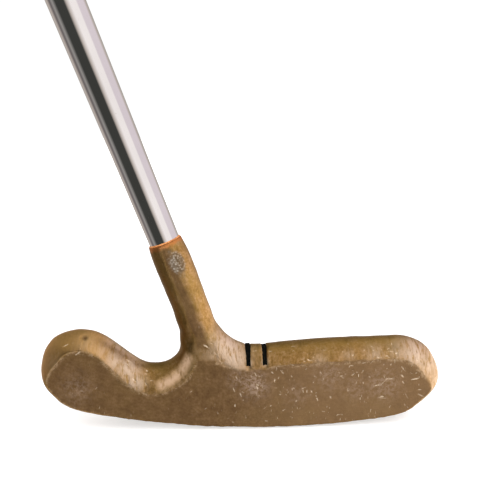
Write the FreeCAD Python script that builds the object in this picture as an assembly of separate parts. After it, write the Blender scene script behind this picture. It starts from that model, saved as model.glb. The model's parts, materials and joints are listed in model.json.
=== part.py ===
import FreeCAD, Part

import math
import os

from FreeCAD import Vector

# Two-way blade putter with a cast brass head, a stepped steel shaft and a
# leather-wrapped paddle grip.  Millimetres, +Z up.
# Origin: the point where the shaft axis meets the ground under the sole.
# +X runs along the blade to the toe, -Y is the front face, the sole rests on Z = 0.

# ---------------------------------------------------------------- blade sizes
blade_length = 124.0          # heel end to toe end
heel_reach = 60.0             # heel end back from the origin
sole_thickness = 14.2         # front to back where the faces meet the sole
face_loft = 2.5               # lean of each face, degrees
sole_roll = 0.8               # how far the sole bulges below its two edges
sole_camber_radius = 268.0    # heel-to-toe curve of the sole
sole_low_x = 12.0             # where the sole touches the ground
topline_height = 25.2         # crown of the blade beside the sight lines
topline_rise = 0.038          # upward slope of the topline towards the toe
crown_height = 5.0            # face edge up to the crown along the topline
edge_run = 1.4                # how far the crown curves in before it turns over
shoulder = 0.48               # share of the crown height reached at that point
bulb_centre_x = -48.0         # rounded heel lobe
bulb_centre_z = 19.1
bulb_radius = 12.0
dip_x = -26.0                 # lowest point of the neck between lobe and hosel
dip_crown_z = 19.7
dip_edge_z = 12.6
arch_edge_z = 23.0            # peak of the face edge under the hosel
toe_round_z = 12.6            # height of the toe end point

# ---------------------------------------------------------------- sight lines
sight_line_width = 1.5
sight_line_depth = 0.9
sight_line_x = 3.3            # first line, the second is one pitch nearer the toe
sight_line_pitch = 5.0
sight_line_count = 2
paint_recess = 0.25           # paint surface below the brass
edge_bite = 0.4               # share of those depths left where a line meets the face

# ---------------------------------------------------------------- hosel
lie_angle = 70.0              # shaft axis to the ground, degrees
hosel_mouth = 62.2            # mouth of the hosel along the shaft axis
hosel_swell_wall = 0.98       # brass round the bore at the swell below the mouth
hosel_neck_wall = 0.68        # brass round the bore at the narrowest, above the blade
swell_below_mouth = 9.0
neck_below_mouth = 24.0
hosel_root = 20.0             # where the round hosel ends inside the blade
root_growth = 0.3             # radius gained from the neck to the root
hosel_rim_wall = 0.38         # brass round the bore at the mouth
bore_depth = 28.0
glue_gap = 0.12
glue_bead = 0.35              # height of the glue ring on the shaft at the mouth
tip_stand_off = 0.5           # shaft tip above the bottom of the bore

# ---------------------------------------------------------------- shaft
club_length = 889.0           # ground to the end of the grip cap along the shaft
shaft_tip_diameter = 9.0
taper_top_diameter = 10.2
butt_diameter = 15.24
shaft_wall = 0.55
taper_top = 138.0             # end of the plain tapered part along the axis
step_count = 12
step_run = 1.0                # length of each small cone between two steps
plain_butt_length = 44.0      # last step to the grip's collar
tip_plug_length = 12.0

# ---------------------------------------------------------------- grip
grip_length = 267.0           # collar foot to the end of the cap
collar_length = 12.0
collar_foot_wall = 0.6
collar_band = 2.0             # straight part of the collar beside the leather
cap_thickness = 5.0
cap_edge = 1.2                # rounding of the cap's outer edge
grip_tape_thickness = 0.2
underlist_foot_wall = 1.2     # rubber round the tape at the foot of the grip
underlist_top_wall = 3.7      # rubber round the tape under the cap
flat_foot_wall = 0.9          # rubber left under the thumb flat at the foot
flat_top_wall = 0.5           # rubber left under the thumb flat at the cap
leather_thickness = 1.5
finishing_tape_length = 9.0
finishing_tape_thickness = 0.4
butt_plug_length = 30.0
screw_shank_diameter = 3.0
screw_head_diameter = 6.5
screw_head_height = 1.8
screw_length = 20.0           # below the cap
screw_point = 3.0
screw_slot_width = 0.9
screw_slot_depth = 0.8

# ---------------------------------------------------------------- worked out
lie = math.radians(lie_angle)
loft = math.radians(face_loft)
axis = Vector(-math.cos(lie), 0, math.sin(lie))
thumb_side = Vector(math.sin(lie), 0, math.cos(lie))
toe_end_x = blade_length - heel_reach
bore_diameter = shaft_tip_diameter + 2 * glue_gap
bore_floor = hosel_mouth - bore_depth
shaft_tip = bore_floor + tip_stand_off
cap_underside = club_length - cap_thickness
collar_foot = club_length - grip_length
wrap_foot = collar_foot + collar_length
tape_radius = butt_diameter / 2 + grip_tape_thickness
butt_inside_radius = butt_diameter / 2 - shaft_wall
step_pitch = (collar_foot - plain_butt_length - taper_top) / (step_count - 1)
step_rise = (butt_diameter - taper_top_diameter) / 2 / step_count
underlist_foot_radius = tape_radius + underlist_foot_wall
underlist_top_radius = tape_radius + underlist_top_wall


def along(distance, offset=0.0):
    """Point on the shaft axis, or offset towards the thumb side of it."""
    return axis * distance + thumb_side * offset


def turned(profile):
    """Solid of revolution about the shaft axis from (distance, radius) corners."""
    corners = [along(distance, radius) for distance, radius in profile]
    edges = Part.makePolygon(corners + corners[:1])
    return Part.Face(edges).revolve(Vector(), axis, 360)


def rod(start, end, diameter, end_diameter=None):
    """Round bar or cone along the shaft axis."""
    top = diameter if end_diameter is None else end_diameter
    return turned([(start, 0), (start, diameter / 2), (end, top / 2), (end, 0)])


# ---------------------------------------------------------------- blade
def half_thickness(z):
    """Half the blade from front to back at height z on its flat faces."""
    return sole_thickness / 2 - z * math.tan(loft)


def sole_edge_z(x):
    """Height of the face edge along the sole."""
    drop = math.sqrt(sole_camber_radius ** 2 - (x - sole_low_x) ** 2)
    return sole_roll + sole_camber_radius - drop


def topline_z(x):
    """Height of the crown between the sight lines and the toe."""
    return topline_height + topline_rise * (x - sight_line_x)


def heel_stations():
    """Lobe: (edge x, edge z, crown x, crown z) about its centre, over the top."""
    shape = [(-0.72, -0.35, -0.93, -0.38), (-0.77, -0.10, -1.00, 0.06),
             (-0.58, 0.20, -0.87, 0.50), (-0.29, 0.51, -0.54, 0.86),
             (0.05, 0.61, -0.04, 1.00), (0.40, 0.54, 0.44, 0.90),
             (0.75, 0.24, 0.92, 0.58)]
    return [(bulb_centre_x + bulb_radius * edge_x, bulb_centre_z + bulb_radius * edge_z,
             bulb_centre_x + bulb_radius * crown_x, bulb_centre_z + bulb_radius * crown_z)
            for edge_x, edge_z, crown_x, crown_z in shape]


def neck_stations():
    """Dip beside the lobe, then up the hosel, inside it, and down its toe side."""
    return [(dip_x - 7.4, dip_edge_z + 3.2, dip_x - 6.0, dip_crown_z + 2.4),
            (dip_x - 2.4, dip_edge_z + 0.3, dip_x - 1.8, dip_crown_z + 0.2),
            (dip_x + 2.6, dip_edge_z + 0.2, dip_x + 2.2, dip_crown_z + 0.1),
            (dip_x + 7.8, dip_edge_z + 2.4, dip_x + 6.0, dip_crown_z + 1.8),
            (-15.0, arch_edge_z - 5.6, -17.7, 25.0),
            (-13.1, arch_edge_z - 1.8, -16.9, 31.5),
            (-10.3, arch_edge_z, -12.4, 36.0),
            (-6.6, arch_edge_z - 0.8, -6.7, 33.4),
            (-3.4, arch_edge_z - 2.1, -3.9, 29.6),
            (0.0, arch_edge_z - 3.0, 0.4, 26.8)]


def topline_stations():
    """Topline from the sight lines to the start of the toe."""
    places = [sight_line_x + 1.5 * sight_line_pitch, sight_line_x + 13.0,
              0.5 * (sight_line_x + toe_end_x), toe_end_x - 20.0]
    return [(x, topline_z(x) - crown_height, x, topline_z(x)) for x in places]


def toe_stations():
    """Round toe end, from the topline down to the sole."""
    top = topline_z(toe_end_x - 14.0)
    return [(toe_end_x - 14.4, top - crown_height - 0.2, toe_end_x - 12.4, top - 0.1),
            (toe_end_x - 9.6, top - 7.3, toe_end_x - 6.0, top - 2.6),
            (toe_end_x - 6.2, toe_round_z + 3.2, toe_end_x - 1.5, toe_round_z + 6.0),
            (toe_end_x - 4.2, toe_round_z - 0.8, toe_end_x, toe_round_z),
            (toe_end_x - 6.4, toe_round_z - 3.7, toe_end_x - 3.2, toe_round_z - 5.2),
            (toe_end_x - 10.0, toe_round_z - 7.0, toe_end_x - 8.6, toe_round_z - 8.4)]


def sole_stations():
    """Sole from toe to heel, then the turn up into the lobe."""
    places = [toe_end_x - 20.0, toe_end_x - 36.0, sole_low_x, -8.0, -26.0, -40.0]
    stations = [(x, sole_edge_z(x), x, sole_edge_z(x) - sole_roll) for x in places]
    turn = bulb_centre_x - 0.9 * bulb_radius / 2
    return stations + [(turn, 10.8, turn - 0.6, 9.4)]


def crown_section(edge, crown, half):
    """Control points across the blade, from the front edge over to the back."""
    rise = crown - edge
    low = edge + rise * shoulder
    high = edge + rise * (2 - shoulder)
    run_in = half - edge_run
    return [edge + Vector(0, -half, 0), low + Vector(0, -run_in, 0), high,
            low + Vector(0, run_in, 0), edge + Vector(0, half, 0)]


def blade_body():
    """Two flat faces joined all round by one rolled edge surface."""
    stations = (heel_stations() + neck_stations() + topline_stations()
                + toe_stations() + sole_stations())
    sections = []
    travel = [0.0]
    for index, (edge_x, edge_z, crown_x, crown_z) in enumerate(stations):
        edge = Vector(edge_x, 0, edge_z)
        crown = Vector(crown_x, 0, crown_z)
        sections.append(crown_section(edge, crown, half_thickness(edge_z)))
        after = stations[(index + 1) % len(stations)]
        step_edge = math.hypot(after[0] - edge_x, after[1] - edge_z)
        step_crown = math.hypot(after[2] - crown_x, after[3] - crown_z)
        travel.append(travel[-1] + 0.5 * (step_edge + step_crown))
    rails = []
    for row in zip(*sections):
        rail = Part.BSplineCurve()
        rail.interpolate(Points=list(row), Parameters=travel, PeriodicFlag=True)
        rails.append(rail)
    poles = [list(column) for column in zip(*[rail.getPoles() for rail in rails])]
    first = rails[0]
    surface = Part.BSplineSurface()
    surface.buildFromPolesMultsKnots(poles, first.getMultiplicities(), [4, 1, 4],
                                     first.getKnots(), [0, 0.5, 1], True, False, 3, 3)
    belt = surface.toShape()
    closed = [edge for edge in belt.Edges if edge.isClosed()]
    faces = [Part.Face(Part.Wire(edge)) for edge in closed]
    shell = Part.makeShell([belt] + faces)
    shell.sewShape()
    body = Part.makeSolid(Part.Shell(shell.Faces))
    if body.Volume < 0:
        body.reverse()
    return body


def hosel_body():
    """Round hosel, swelling a little below the mouth and necking in above the blade."""
    mouth = bore_diameter / 2 + hosel_rim_wall
    swell = bore_diameter / 2 + hosel_swell_wall
    neck = bore_diameter / 2 + hosel_neck_wall
    between = 0.5 * (swell_below_mouth + neck_below_mouth)
    points = [(hosel_mouth, mouth),
              (hosel_mouth - swell_below_mouth / 3, 0.6 * swell + 0.4 * mouth),
              (hosel_mouth - swell_below_mouth, swell),
              (hosel_mouth - between, 0.6 * swell + 0.4 * neck),
              (hosel_mouth - neck_below_mouth, neck),
              (hosel_root, neck + root_growth)]
    side = Part.BSplineCurve()
    side.interpolate([along(distance, radius) for distance, radius in points])
    edges = [side.toShape(),
             Part.makeLine(along(hosel_root, points[-1][1]), along(hosel_root)),
             Part.makeLine(along(hosel_root), along(hosel_mouth)),
             Part.makeLine(along(hosel_mouth), along(hosel_mouth, mouth))]
    return Part.Face(Part.Wire(edges)).revolve(Vector(), axis, 360)


def crown_heights(body, x):
    """Height of the crown and of the front face edge where the blade is cut at x."""
    plumb = Part.makeLine(Vector(x, 0, 0), Vector(x, 0, hosel_mouth))
    crown = max(corner.Z for corner in body.common(plumb).Vertexes)
    cut = Part.makeCompound(body.slice(Vector(1, 0, 0), x))
    front = [corner.Z for corner in cut.Vertexes if corner.Y < -sole_thickness / 4]
    return crown, max(front)


def section_arch(x, crown_z, edge_z):
    """Edge that follows the crown from front to back in the plane at x."""
    half = half_thickness(edge_z)
    arch = Part.BSplineCurve()
    poles = crown_section(Vector(x, 0, edge_z), Vector(x, 0, crown_z), half)
    arch.buildFromPolesMultsKnots(poles, [4, 1, 4], [0, 0.5, 1], False, 3)
    return arch.toShape()


def sight_line_cut(x, crown_z, edge_z):
    """Slot over the crown, following its curve at an even depth."""
    floor = section_arch(x, crown_z - sight_line_depth, edge_z - edge_bite * sight_line_depth)
    front = floor.valueAt(floor.FirstParameter)
    back = floor.valueAt(floor.LastParameter)
    clear = Vector(0, 2.0, 0)
    lift = Vector(0, 0, crown_height + 6.0)
    corners = [back, back + clear, back + clear + lift, front - clear + lift,
               front - clear, front]
    outline = Part.Wire([floor] + Part.makePolygon(corners).Edges)
    slab = Part.Face(outline).extrude(Vector(sight_line_width, 0, 0))
    slab.translate(Vector(-sight_line_width / 2, 0, 0))
    return slab


def sight_line_fill(x, crown_z, edge_z):
    """Paint lying in the slot, its surface a little below the brass."""
    floor = section_arch(x, crown_z - sight_line_depth, edge_z - edge_bite * sight_line_depth)
    top = section_arch(x, crown_z - paint_recess, edge_z - edge_bite * paint_recess)
    ends = [Part.makeLine(floor.valueAt(floor.FirstParameter), top.valueAt(top.FirstParameter)),
            Part.makeLine(floor.valueAt(floor.LastParameter), top.valueAt(top.LastParameter))]
    outline = Part.Wire(Part.__sortEdges__([floor, top] + ends))
    fill = Part.Face(outline).extrude(Vector(sight_line_width, 0, 0))
    fill.translate(Vector(-sight_line_width / 2, 0, 0))
    return fill


def sight_line_places(body):
    """The x, crown height and face edge height of every sight line."""
    places = [sight_line_x + number * sight_line_pitch for number in range(sight_line_count)]
    return [(x,) + crown_heights(body, x) for x in places]


def head(body, places):
    """Cast brass head: blade and hosel in one, bored for the shaft."""
    casting = body.fuse(hosel_body())
    casting = casting.cut(rod(bore_floor, hosel_mouth + 5.0, bore_diameter))
    for place in places:
        casting = casting.cut(sight_line_cut(*place))
    return casting


def sight_line_paint(body, places):
    """Paint in the sight lines, one solid for each."""
    return Part.makeCompound([sight_line_fill(*place).common(body) for place in places])


# ---------------------------------------------------------------- hosel joint
def taper_radius(distance):
    """Outside radius of the shaft's plain tapered part, from the hosel up."""
    share = (distance - hosel_mouth) / (taper_top - hosel_mouth)
    return (shaft_tip_diameter + share * (taper_top_diameter - shaft_tip_diameter)) / 2


def hosel_epoxy():
    """Glue line round the shaft tip, pooled under it, with a bead at the mouth."""
    tip = shaft_tip_diameter / 2
    bore = bore_diameter / 2
    top = hosel_mouth + glue_bead
    return turned([(bore_floor, 0), (bore_floor, bore), (hosel_mouth, bore),
                   (hosel_mouth, bore + 0.7 * hosel_rim_wall), (top, taper_radius(top)),
                   (hosel_mouth, tip), (shaft_tip, tip), (shaft_tip, 0)])


# ---------------------------------------------------------------- shaft
def shaft_outline():
    """Outside of the shaft as (distance, radius) corners from tip to butt."""
    corners = [(shaft_tip, shaft_tip_diameter / 2), (hosel_mouth, shaft_tip_diameter / 2),
               (taper_top, taper_top_diameter / 2)]
    for step in range(step_count):
        foot = taper_top + step * step_pitch
        radius = taper_top_diameter / 2 + (step + 1) * step_rise
        corners.append((foot + step_run, radius))
        if step < step_count - 1:
            corners.append((foot + step_pitch, radius))
    corners.append((cap_underside, butt_diameter / 2))
    return corners


def shaft():
    """Chromed steel tube, tapered at the tip and stepped up to the butt."""
    outside = shaft_outline()
    inside = [(distance, radius - shaft_wall) for distance, radius in reversed(outside)]
    return turned(outside + inside)


def tip_plug():
    """Cork in the shaft tip that keeps the glue out of the tube."""
    return rod(shaft_tip, shaft_tip + tip_plug_length, shaft_tip_diameter - 2 * shaft_wall)


# ---------------------------------------------------------------- grip
def grip_tape():
    """Tape round the butt of the shaft under the grip."""
    steel = butt_diameter / 2
    return turned([(wrap_foot, steel), (wrap_foot, tape_radius),
                   (cap_underside, tape_radius), (cap_underside, steel)])


def paddle(skin):
    """Tapered grip form with a thumb flat, grown outwards by a skin thickness."""
    foot = underlist_foot_radius + skin
    top = underlist_top_radius + skin
    form = rod(wrap_foot, cap_underside, 2 * foot, 2 * top)
    flat_foot = tape_radius + flat_foot_wall + skin
    flat_top = tape_radius + flat_top_wall + skin
    reach = 2 * top
    corners = [along(wrap_foot, flat_foot), along(cap_underside, flat_top),
               along(cap_underside, reach), along(wrap_foot, reach)]
    waste = Part.Face(Part.makePolygon(corners + corners[:1]))
    waste.translate(Vector(0, -reach, 0))
    return form.cut(waste.extrude(Vector(0, 2 * reach, 0)))


def underlisting():
    """Moulded rubber form over the tape that gives the grip its shape."""
    return paddle(0).cut(rod(wrap_foot, cap_underside, 2 * tape_radius))


def leather_wrap():
    """Leather strip wound over the rubber form, as one closed sleeve."""
    return paddle(leather_thickness).cut(paddle(0))


def finishing_tape():
    """Turns of binding tape over the foot of the leather."""
    outside = paddle(leather_thickness + finishing_tape_thickness)
    band = outside.cut(paddle(leather_thickness))
    length = rod(wrap_foot, wrap_foot + finishing_tape_length, 8 * underlist_foot_radius)
    return band.common(length)


def grip_collar():
    """Tapered collar on the shaft that closes the foot of the grip."""
    steel = butt_diameter / 2
    foot = steel + collar_foot_wall
    seat = tape_radius + flat_foot_wall + leather_thickness
    return turned([(collar_foot, steel), (collar_foot, foot),
                   (wrap_foot - collar_band, seat), (wrap_foot, seat), (wrap_foot, steel)])


def butt_plug():
    """Wooden plug in the butt of the shaft that takes the cap screw."""
    plug = rod(cap_underside - butt_plug_length, cap_underside, 2 * butt_inside_radius)
    return plug.cut(cap_screw())


def cap_body():
    """Disc with the outline of the grip end."""
    reach = underlist_top_radius + leather_thickness
    disc = rod(cap_underside, club_length, 2 * reach)
    flat = tape_radius + flat_top_wall + leather_thickness
    block = Part.makeBox(2 * reach, 4 * reach, 4 * cap_thickness)
    block.translate(Vector(flat, -2 * reach, cap_underside - cap_thickness))
    block.rotate(Vector(), Vector(0, 1, 0), lie_angle - 90.0)
    return disc.cut(block)


def grip_cap():
    """Moulded cap over the end of the grip, held by one screw."""
    cap = cap_body()
    rim = [edge for edge in cap.Edges if edge_at(edge, club_length)]
    cap = cap.makeFillet(cap_edge, rim)
    return cap.cut(cap_screw())


def edge_at(edge, distance):
    """True where the whole edge lies at one distance along the axis."""
    ends = [edge.valueAt(edge.FirstParameter), edge.valueAt(edge.LastParameter)]
    middle = edge.valueAt(0.5 * (edge.FirstParameter + edge.LastParameter))
    return all(abs(point.dot(axis) - distance) < 1e-4 for point in ends + [middle])


def cap_screw():
    """Slotted countersunk screw through the cap into the wooden plug."""
    shank = screw_shank_diameter / 2
    crown = screw_head_diameter / 2
    foot = cap_underside - screw_length
    return turned([(foot, 0), (foot + screw_point, shank),
                   (club_length - screw_head_height, shank), (club_length, crown),
                   (club_length, 0)])


def slotted_screw():
    """The cap screw with its driver slot."""
    slot = Part.makeBox(2 * screw_head_diameter, screw_slot_width, 2 * screw_slot_depth)
    slot.translate(Vector(-screw_head_diameter, -screw_slot_width / 2,
                          club_length - screw_slot_depth))
    slot.rotate(Vector(), Vector(0, 1, 0), lie_angle - 90.0)
    return cap_screw().cut(slot)


def save(name, shape):
    """Write one named piece and report its volume."""
    if not shape.isValid():
        raise RuntimeError(name + " is not a valid shape")
    shape.exportStep("parts/" + name + ".step")
    print(name, len(shape.Solids), round(shape.Volume, 1))


def main():
    os.makedirs("parts", exist_ok=True)
    body = blade_body()
    places = sight_line_places(body)
    save("head", head(body, places))
    save("sight_line_paint", sight_line_paint(body, places))
    save("hosel_epoxy", hosel_epoxy())
    save("shaft", shaft())
    save("tip_plug", tip_plug())
    save("grip_tape", grip_tape())
    save("underlisting", underlisting())
    save("leather_wrap", leather_wrap())
    save("finishing_tape", finishing_tape())
    save("grip_collar", grip_collar())
    save("butt_plug", butt_plug())
    save("grip_cap", grip_cap())
    save("cap_screw", slotted_screw())


main()
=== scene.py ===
import json
import math
import random

import bmesh
import bpy
import numpy as np
from mathutils import Euler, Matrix, Vector, kdtree, noise
from mathutils.bvhtree import BVHTree


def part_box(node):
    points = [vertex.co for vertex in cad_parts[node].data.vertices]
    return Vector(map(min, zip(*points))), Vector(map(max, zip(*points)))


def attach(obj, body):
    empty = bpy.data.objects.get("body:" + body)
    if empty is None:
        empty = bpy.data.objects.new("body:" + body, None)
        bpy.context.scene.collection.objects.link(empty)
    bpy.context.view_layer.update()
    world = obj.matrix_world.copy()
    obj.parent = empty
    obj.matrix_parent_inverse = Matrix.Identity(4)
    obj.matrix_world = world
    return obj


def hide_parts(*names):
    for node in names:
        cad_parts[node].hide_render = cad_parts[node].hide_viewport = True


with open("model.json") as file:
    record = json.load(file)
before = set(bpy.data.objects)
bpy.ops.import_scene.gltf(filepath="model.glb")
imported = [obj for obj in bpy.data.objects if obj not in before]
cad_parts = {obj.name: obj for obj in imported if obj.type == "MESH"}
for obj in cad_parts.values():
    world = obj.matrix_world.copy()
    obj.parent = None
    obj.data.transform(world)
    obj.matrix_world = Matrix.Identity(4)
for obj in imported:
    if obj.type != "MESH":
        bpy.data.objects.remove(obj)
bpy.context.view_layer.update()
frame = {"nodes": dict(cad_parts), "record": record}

# A brass blade putter: the head, shaft and grip are rebuilt in fine mesh on the packed
# parts.  Metres; +X to the toe, -Y is the front face, the sole rests on Z = 0.
MM = 0.001
SEED = 428

MOUNTS = {mount["name"]: mount for mount in frame["record"]["mounts"]}
AXIS = Vector(MOUNTS["grip_hold"]["axis"]).normalized()
THUMB = Vector((AXIS.z, 0.0, -AXIS.x))
SIDE = AXIS.cross(THUMB)


# ------------------------------------------------------------------ measuring
def points_of(node):
    """Vertices of a CAD node as an array."""
    return np.array([vertex.co for vertex in frame["nodes"][node].data.vertices])


def shaft_coordinates(points):
    """Distance along the shaft axis, and distance from it, for each point."""
    along = points @ np.array(AXIS)
    away = np.linalg.norm(points - np.outer(along, np.array(AXIS)), axis=1)
    return along, away


def reach(node):
    """Lowest and highest place of a CAD node along the shaft axis."""
    along, _ = shaft_coordinates(points_of(node))
    return float(along.min()), float(along.max())


def radii_at(node, distance):
    """Distances from the axis of a CAD node's points at a distance along it."""
    along, away = shaft_coordinates(points_of(node))
    return away[np.abs(along - distance) < 0.2 * MM]


def paddle_size(node, distance):
    """Outer radius of a grip piece at a distance along the axis, and its flat's distance."""
    points = points_of(node)
    along, away = shaft_coordinates(points)
    near = np.abs(along - distance) < 0.2 * MM
    flat = (points[near] @ np.array(THUMB)).max()
    return float(away[near].max()), float(flat)


# ------------------------------------------------------------------ mesh helpers
def eased(share):
    """Smooth step from 0 to 1."""
    return share * share * (3 - 2 * share)


def new_piece(name, mesh):
    """Link a mesh as an object."""
    piece = bpy.data.objects.new(name, mesh)
    bpy.context.scene.collection.objects.link(piece)
    return piece


def smooth_shaded(mesh, angle):
    """Smooth shading, with edges sharper than the angle kept crisp."""
    for polygon in mesh.polygons:
        polygon.use_smooth = True
    mesh.set_sharp_from_angle(angle=math.radians(angle))


def finish_piece(piece, material, slot, *nodes):
    """Give a piece its material and body, and hide the CAD nodes that it stands for. The slot is not
    used.
    """
    piece.data.materials.clear()
    piece.data.materials.append(material)
    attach(piece, "root")
    if nodes:
        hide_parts(*nodes)
    return piece


def finished(name, mesh, angle, material, slot, node):
    """Shade a mesh smooth up to an angle and make it the piece for one CAD node."""
    smooth_shaded(mesh, angle)
    return finish_piece(new_piece(name, mesh), material, slot, node)


def place_on_axis(distance, radius, angle):
    """Point at a distance along the axis; angle 0 is the thumb side."""
    around = THUMB * math.cos(angle) + SIDE * math.sin(angle)
    return AXIS * distance + around * radius


def turns(count):
    """Angles spaced evenly round the axis."""
    return [2 * math.pi * step / count for step in range(count)]


def ring_of(distance, sizes):
    """One ring of points round the axis, from its radii."""
    return [place_on_axis(distance, size, angle)
            for size, angle in zip(sizes, turns(len(sizes)))]


def closed_rings(name, rings):
    """Closed mesh through rings of points, the last ring joined to the first."""
    segments = len(rings[0])
    faces = []
    for row in range(len(rings)):
        after = (row + 1) % len(rings)
        for step in range(segments):
            turn = (step + 1) % segments
            faces.append((row * segments + step, row * segments + turn,
                          after * segments + turn, after * segments + step))
    mesh = bpy.data.meshes.new(name)
    mesh.from_pydata([point for ring in rings for point in ring], [], faces)
    return outward(mesh)


def turned_mesh(name, profile, segments):
    """Closed surface of revolution from a closed loop of (distance, radius) corners."""
    return closed_rings(name, [ring_of(distance, [radius] * segments)
                               for distance, radius in profile])


def outward(mesh):
    """Merge doubles and turn all faces outwards."""
    work = bmesh.new()
    work.from_mesh(mesh)
    bmesh.ops.remove_doubles(work, verts=work.verts, dist=1e-6)
    bmesh.ops.recalc_face_normals(work, faces=work.faces)
    work.to_mesh(mesh)
    work.free()
    return mesh


def paddle_radius(radius, flat, angle):
    """Distance to the grip's outline: a circle with a softened thumb flat."""
    cosine = math.cos(angle)
    if cosine < 0.2:
        return radius
    plane = flat / cosine
    soften = 0.06 * radius
    gap = radius - plane
    return 0.5 * (radius + plane - math.sqrt(gap * gap + soften * soften)) + 0.25 * soften


# ------------------------------------------------------------------ node helpers
class Nodes:
    """A node tree built node by node."""

    def __init__(self, tree):
        self.tree = tree

    def node(self, kind, **values):
        made = self.tree.nodes.new(kind)
        for key, value in values.items():
            setattr(made, key, value)
        return made

    def link(self, source, target):
        if isinstance(source, (int, float)):
            target.default_value = source
        elif isinstance(source, tuple):
            target.default_value = source + (1.0,) if len(source) == 3 else source
        else:
            self.tree.links.new(source, target)

    def math(self, operation, first, second=0.0, clamp=False):
        made = self.node("ShaderNodeMath", operation=operation, use_clamp=clamp)
        self.link(first, made.inputs[0])
        self.link(second, made.inputs[1])
        return made.outputs[0]

    def times(self, first, second):
        return self.math("MULTIPLY", first, second)

    def plus(self, first, second):
        return self.math("ADD", first, second)

    def minus(self, first, second, clamp=False):
        return self.math("SUBTRACT", first, second, clamp)

    def dot(self, vector, direction):
        made = self.node("ShaderNodeVectorMath", operation="DOT_PRODUCT")
        self.link(vector, made.inputs[0])
        made.inputs[1].default_value = tuple(direction)
        return made.outputs["Value"]

    def band(self, value, low, high, start=0.0, end=1.0):
        made = self.node("ShaderNodeMapRange", interpolation_type="SMOOTHSTEP")
        self.link(value, made.inputs["Value"])
        for name, number in (("From Min", low), ("From Max", high),
                             ("To Min", start), ("To Max", end)):
            made.inputs[name].default_value = number
        return made.outputs["Result"]

    def ramp(self, value, *stops):
        made = self.node("ShaderNodeValToRGB")
        ramp = made.color_ramp
        while len(ramp.elements) < len(stops):
            ramp.elements.new(0.5)
        for element, (place, colour) in zip(ramp.elements, stops):
            element.position = place
            element.color = colour + (1.0,)
        self.link(value, made.inputs["Fac"])
        return made.outputs["Color"]

    def mix(self, factor, first, second):
        made = self.node("ShaderNodeMix", data_type="RGBA")
        self.link(factor, made.inputs["Factor"])
        self.link(first, made.inputs["A"])
        self.link(second, made.inputs["B"])
        return made.outputs["Result"]


class Shader(Nodes):
    """A Principled material built node by node."""

    def __init__(self, name):
        self.material = bpy.data.materials.new(name)
        self.material.use_nodes = True
        super().__init__(self.material.node_tree)
        self.surface = self.tree.nodes["Principled BSDF"]
        self.place = self.node("ShaderNodeTexCoord").outputs["Object"]

    def set(self, name, value):
        self.link(value, self.surface.inputs[name])

    def stretched(self, scale, turn=(0, 0, 0)):
        made = self.node("ShaderNodeMapping")
        made.inputs["Scale"].default_value = scale
        made.inputs["Rotation"].default_value = [math.radians(angle) for angle in turn]
        self.link(self.place, made.inputs["Vector"])
        return made.outputs["Vector"]

    def noise(self, scale, detail=4.0, roughness=0.55, vector=None):
        made = self.node("ShaderNodeTexNoise")
        made.inputs["Scale"].default_value = scale
        made.inputs["Detail"].default_value = detail
        made.inputs["Roughness"].default_value = roughness
        self.link(self.place if vector is None else vector, made.inputs["Vector"])
        return made.outputs["Fac"]

    def cells(self, scale, feature="F1"):
        made = self.node("ShaderNodeTexVoronoi", feature=feature)
        made.inputs["Scale"].default_value = scale
        self.link(self.place, made.inputs["Vector"])
        return made.outputs["Distance"]

    def painted(self, name):
        made = self.node("ShaderNodeAttribute", attribute_name=name)
        return made.outputs["Fac"]

    def mottled(self, scale, rough, *stops, detail=4):
        """Colour and roughness that vary together over one noise."""
        tone = self.noise(scale, detail, 0.6)
        self.set("Base Color", self.ramp(tone, *stops))
        self.set("Roughness", self.band(tone, 0.3, 0.7, *rough))

    def bump(self, *layers):
        """Bump from (height, strength, distance) layers, stacked."""
        normal = None
        for height, strength, distance in layers:
            made = self.node("ShaderNodeBump")
            made.inputs["Strength"].default_value = strength
            made.inputs["Distance"].default_value = distance
            self.link(height, made.inputs["Height"])
            if normal is not None:
                self.link(normal, made.inputs["Normal"])
            normal = made.outputs["Normal"]
        self.link(normal, self.surface.inputs["Normal"])


# ------------------------------------------------------------------ head
VOXEL = 0.43 * MM
BLEND_REACH = 5.5 * MM
FLECKS_A_SIDE = 120
MOUTH = reach("head")[1]
BORE_FLOOR = reach("hosel_epoxy")[0]
LINES_LOW, LINES_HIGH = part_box("sight_line_paint")


def plugged_head():
    """CAD head with its bore closed, so that it can be remeshed as one skin."""
    along, away = shaft_coordinates(points_of("hosel_epoxy"))
    bore = float(away[along < MOUTH - 5 * MM].max())
    work = bmesh.new()
    work.from_mesh(frame["nodes"]["head"].data)
    bmesh.ops.remove_doubles(work, verts=work.verts, dist=2e-6)
    inside = set()
    for vertex in work.verts:
        distance = vertex.co.dot(AXIS)
        radius = (vertex.co - AXIS * distance).length
        if radius < bore + 0.03 * MM and distance > BORE_FLOOR - 0.03 * MM:
            inside.add(vertex)
    walls = [face for face in work.faces if all(v in inside for v in face.verts)]
    bmesh.ops.delete(work, geom=walls, context="FACES")
    rim = [edge for edge in work.edges if edge.is_boundary]
    bmesh.ops.edgeloop_fill(work, edges=rim)
    bmesh.ops.triangulate(work, faces=[f for f in work.faces if len(f.verts) > 4])
    return work, bore


def creases(work):
    """Middles of the CAD head's sharp edges: outer ones of the blade, inner ones at the hosel."""
    outer = []
    inner = []
    for edge in work.edges:
        if len(edge.link_faces) != 2:
            continue
        bend = edge.calc_face_angle_signed(0.0)
        middle = (edge.verts[0].co + edge.verts[1].co) / 2
        beside_lines = LINES_LOW.x - MM < middle.x < LINES_HIGH.x + MM and middle.z > 15 * MM
        if beside_lines or middle.dot(AXIS) > MOUTH - 4 * MM:
            continue
        steps = max(1, int(edge.calc_length() / (0.5 * MM)))
        line = [edge.verts[0].co.lerp(edge.verts[1].co, i / steps) for i in range(steps + 1)]
        if bend > math.radians(14):
            outer += line
        elif bend < math.radians(-6) and middle.z > 20 * MM:
            inner += line
    return outer, inner


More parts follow.
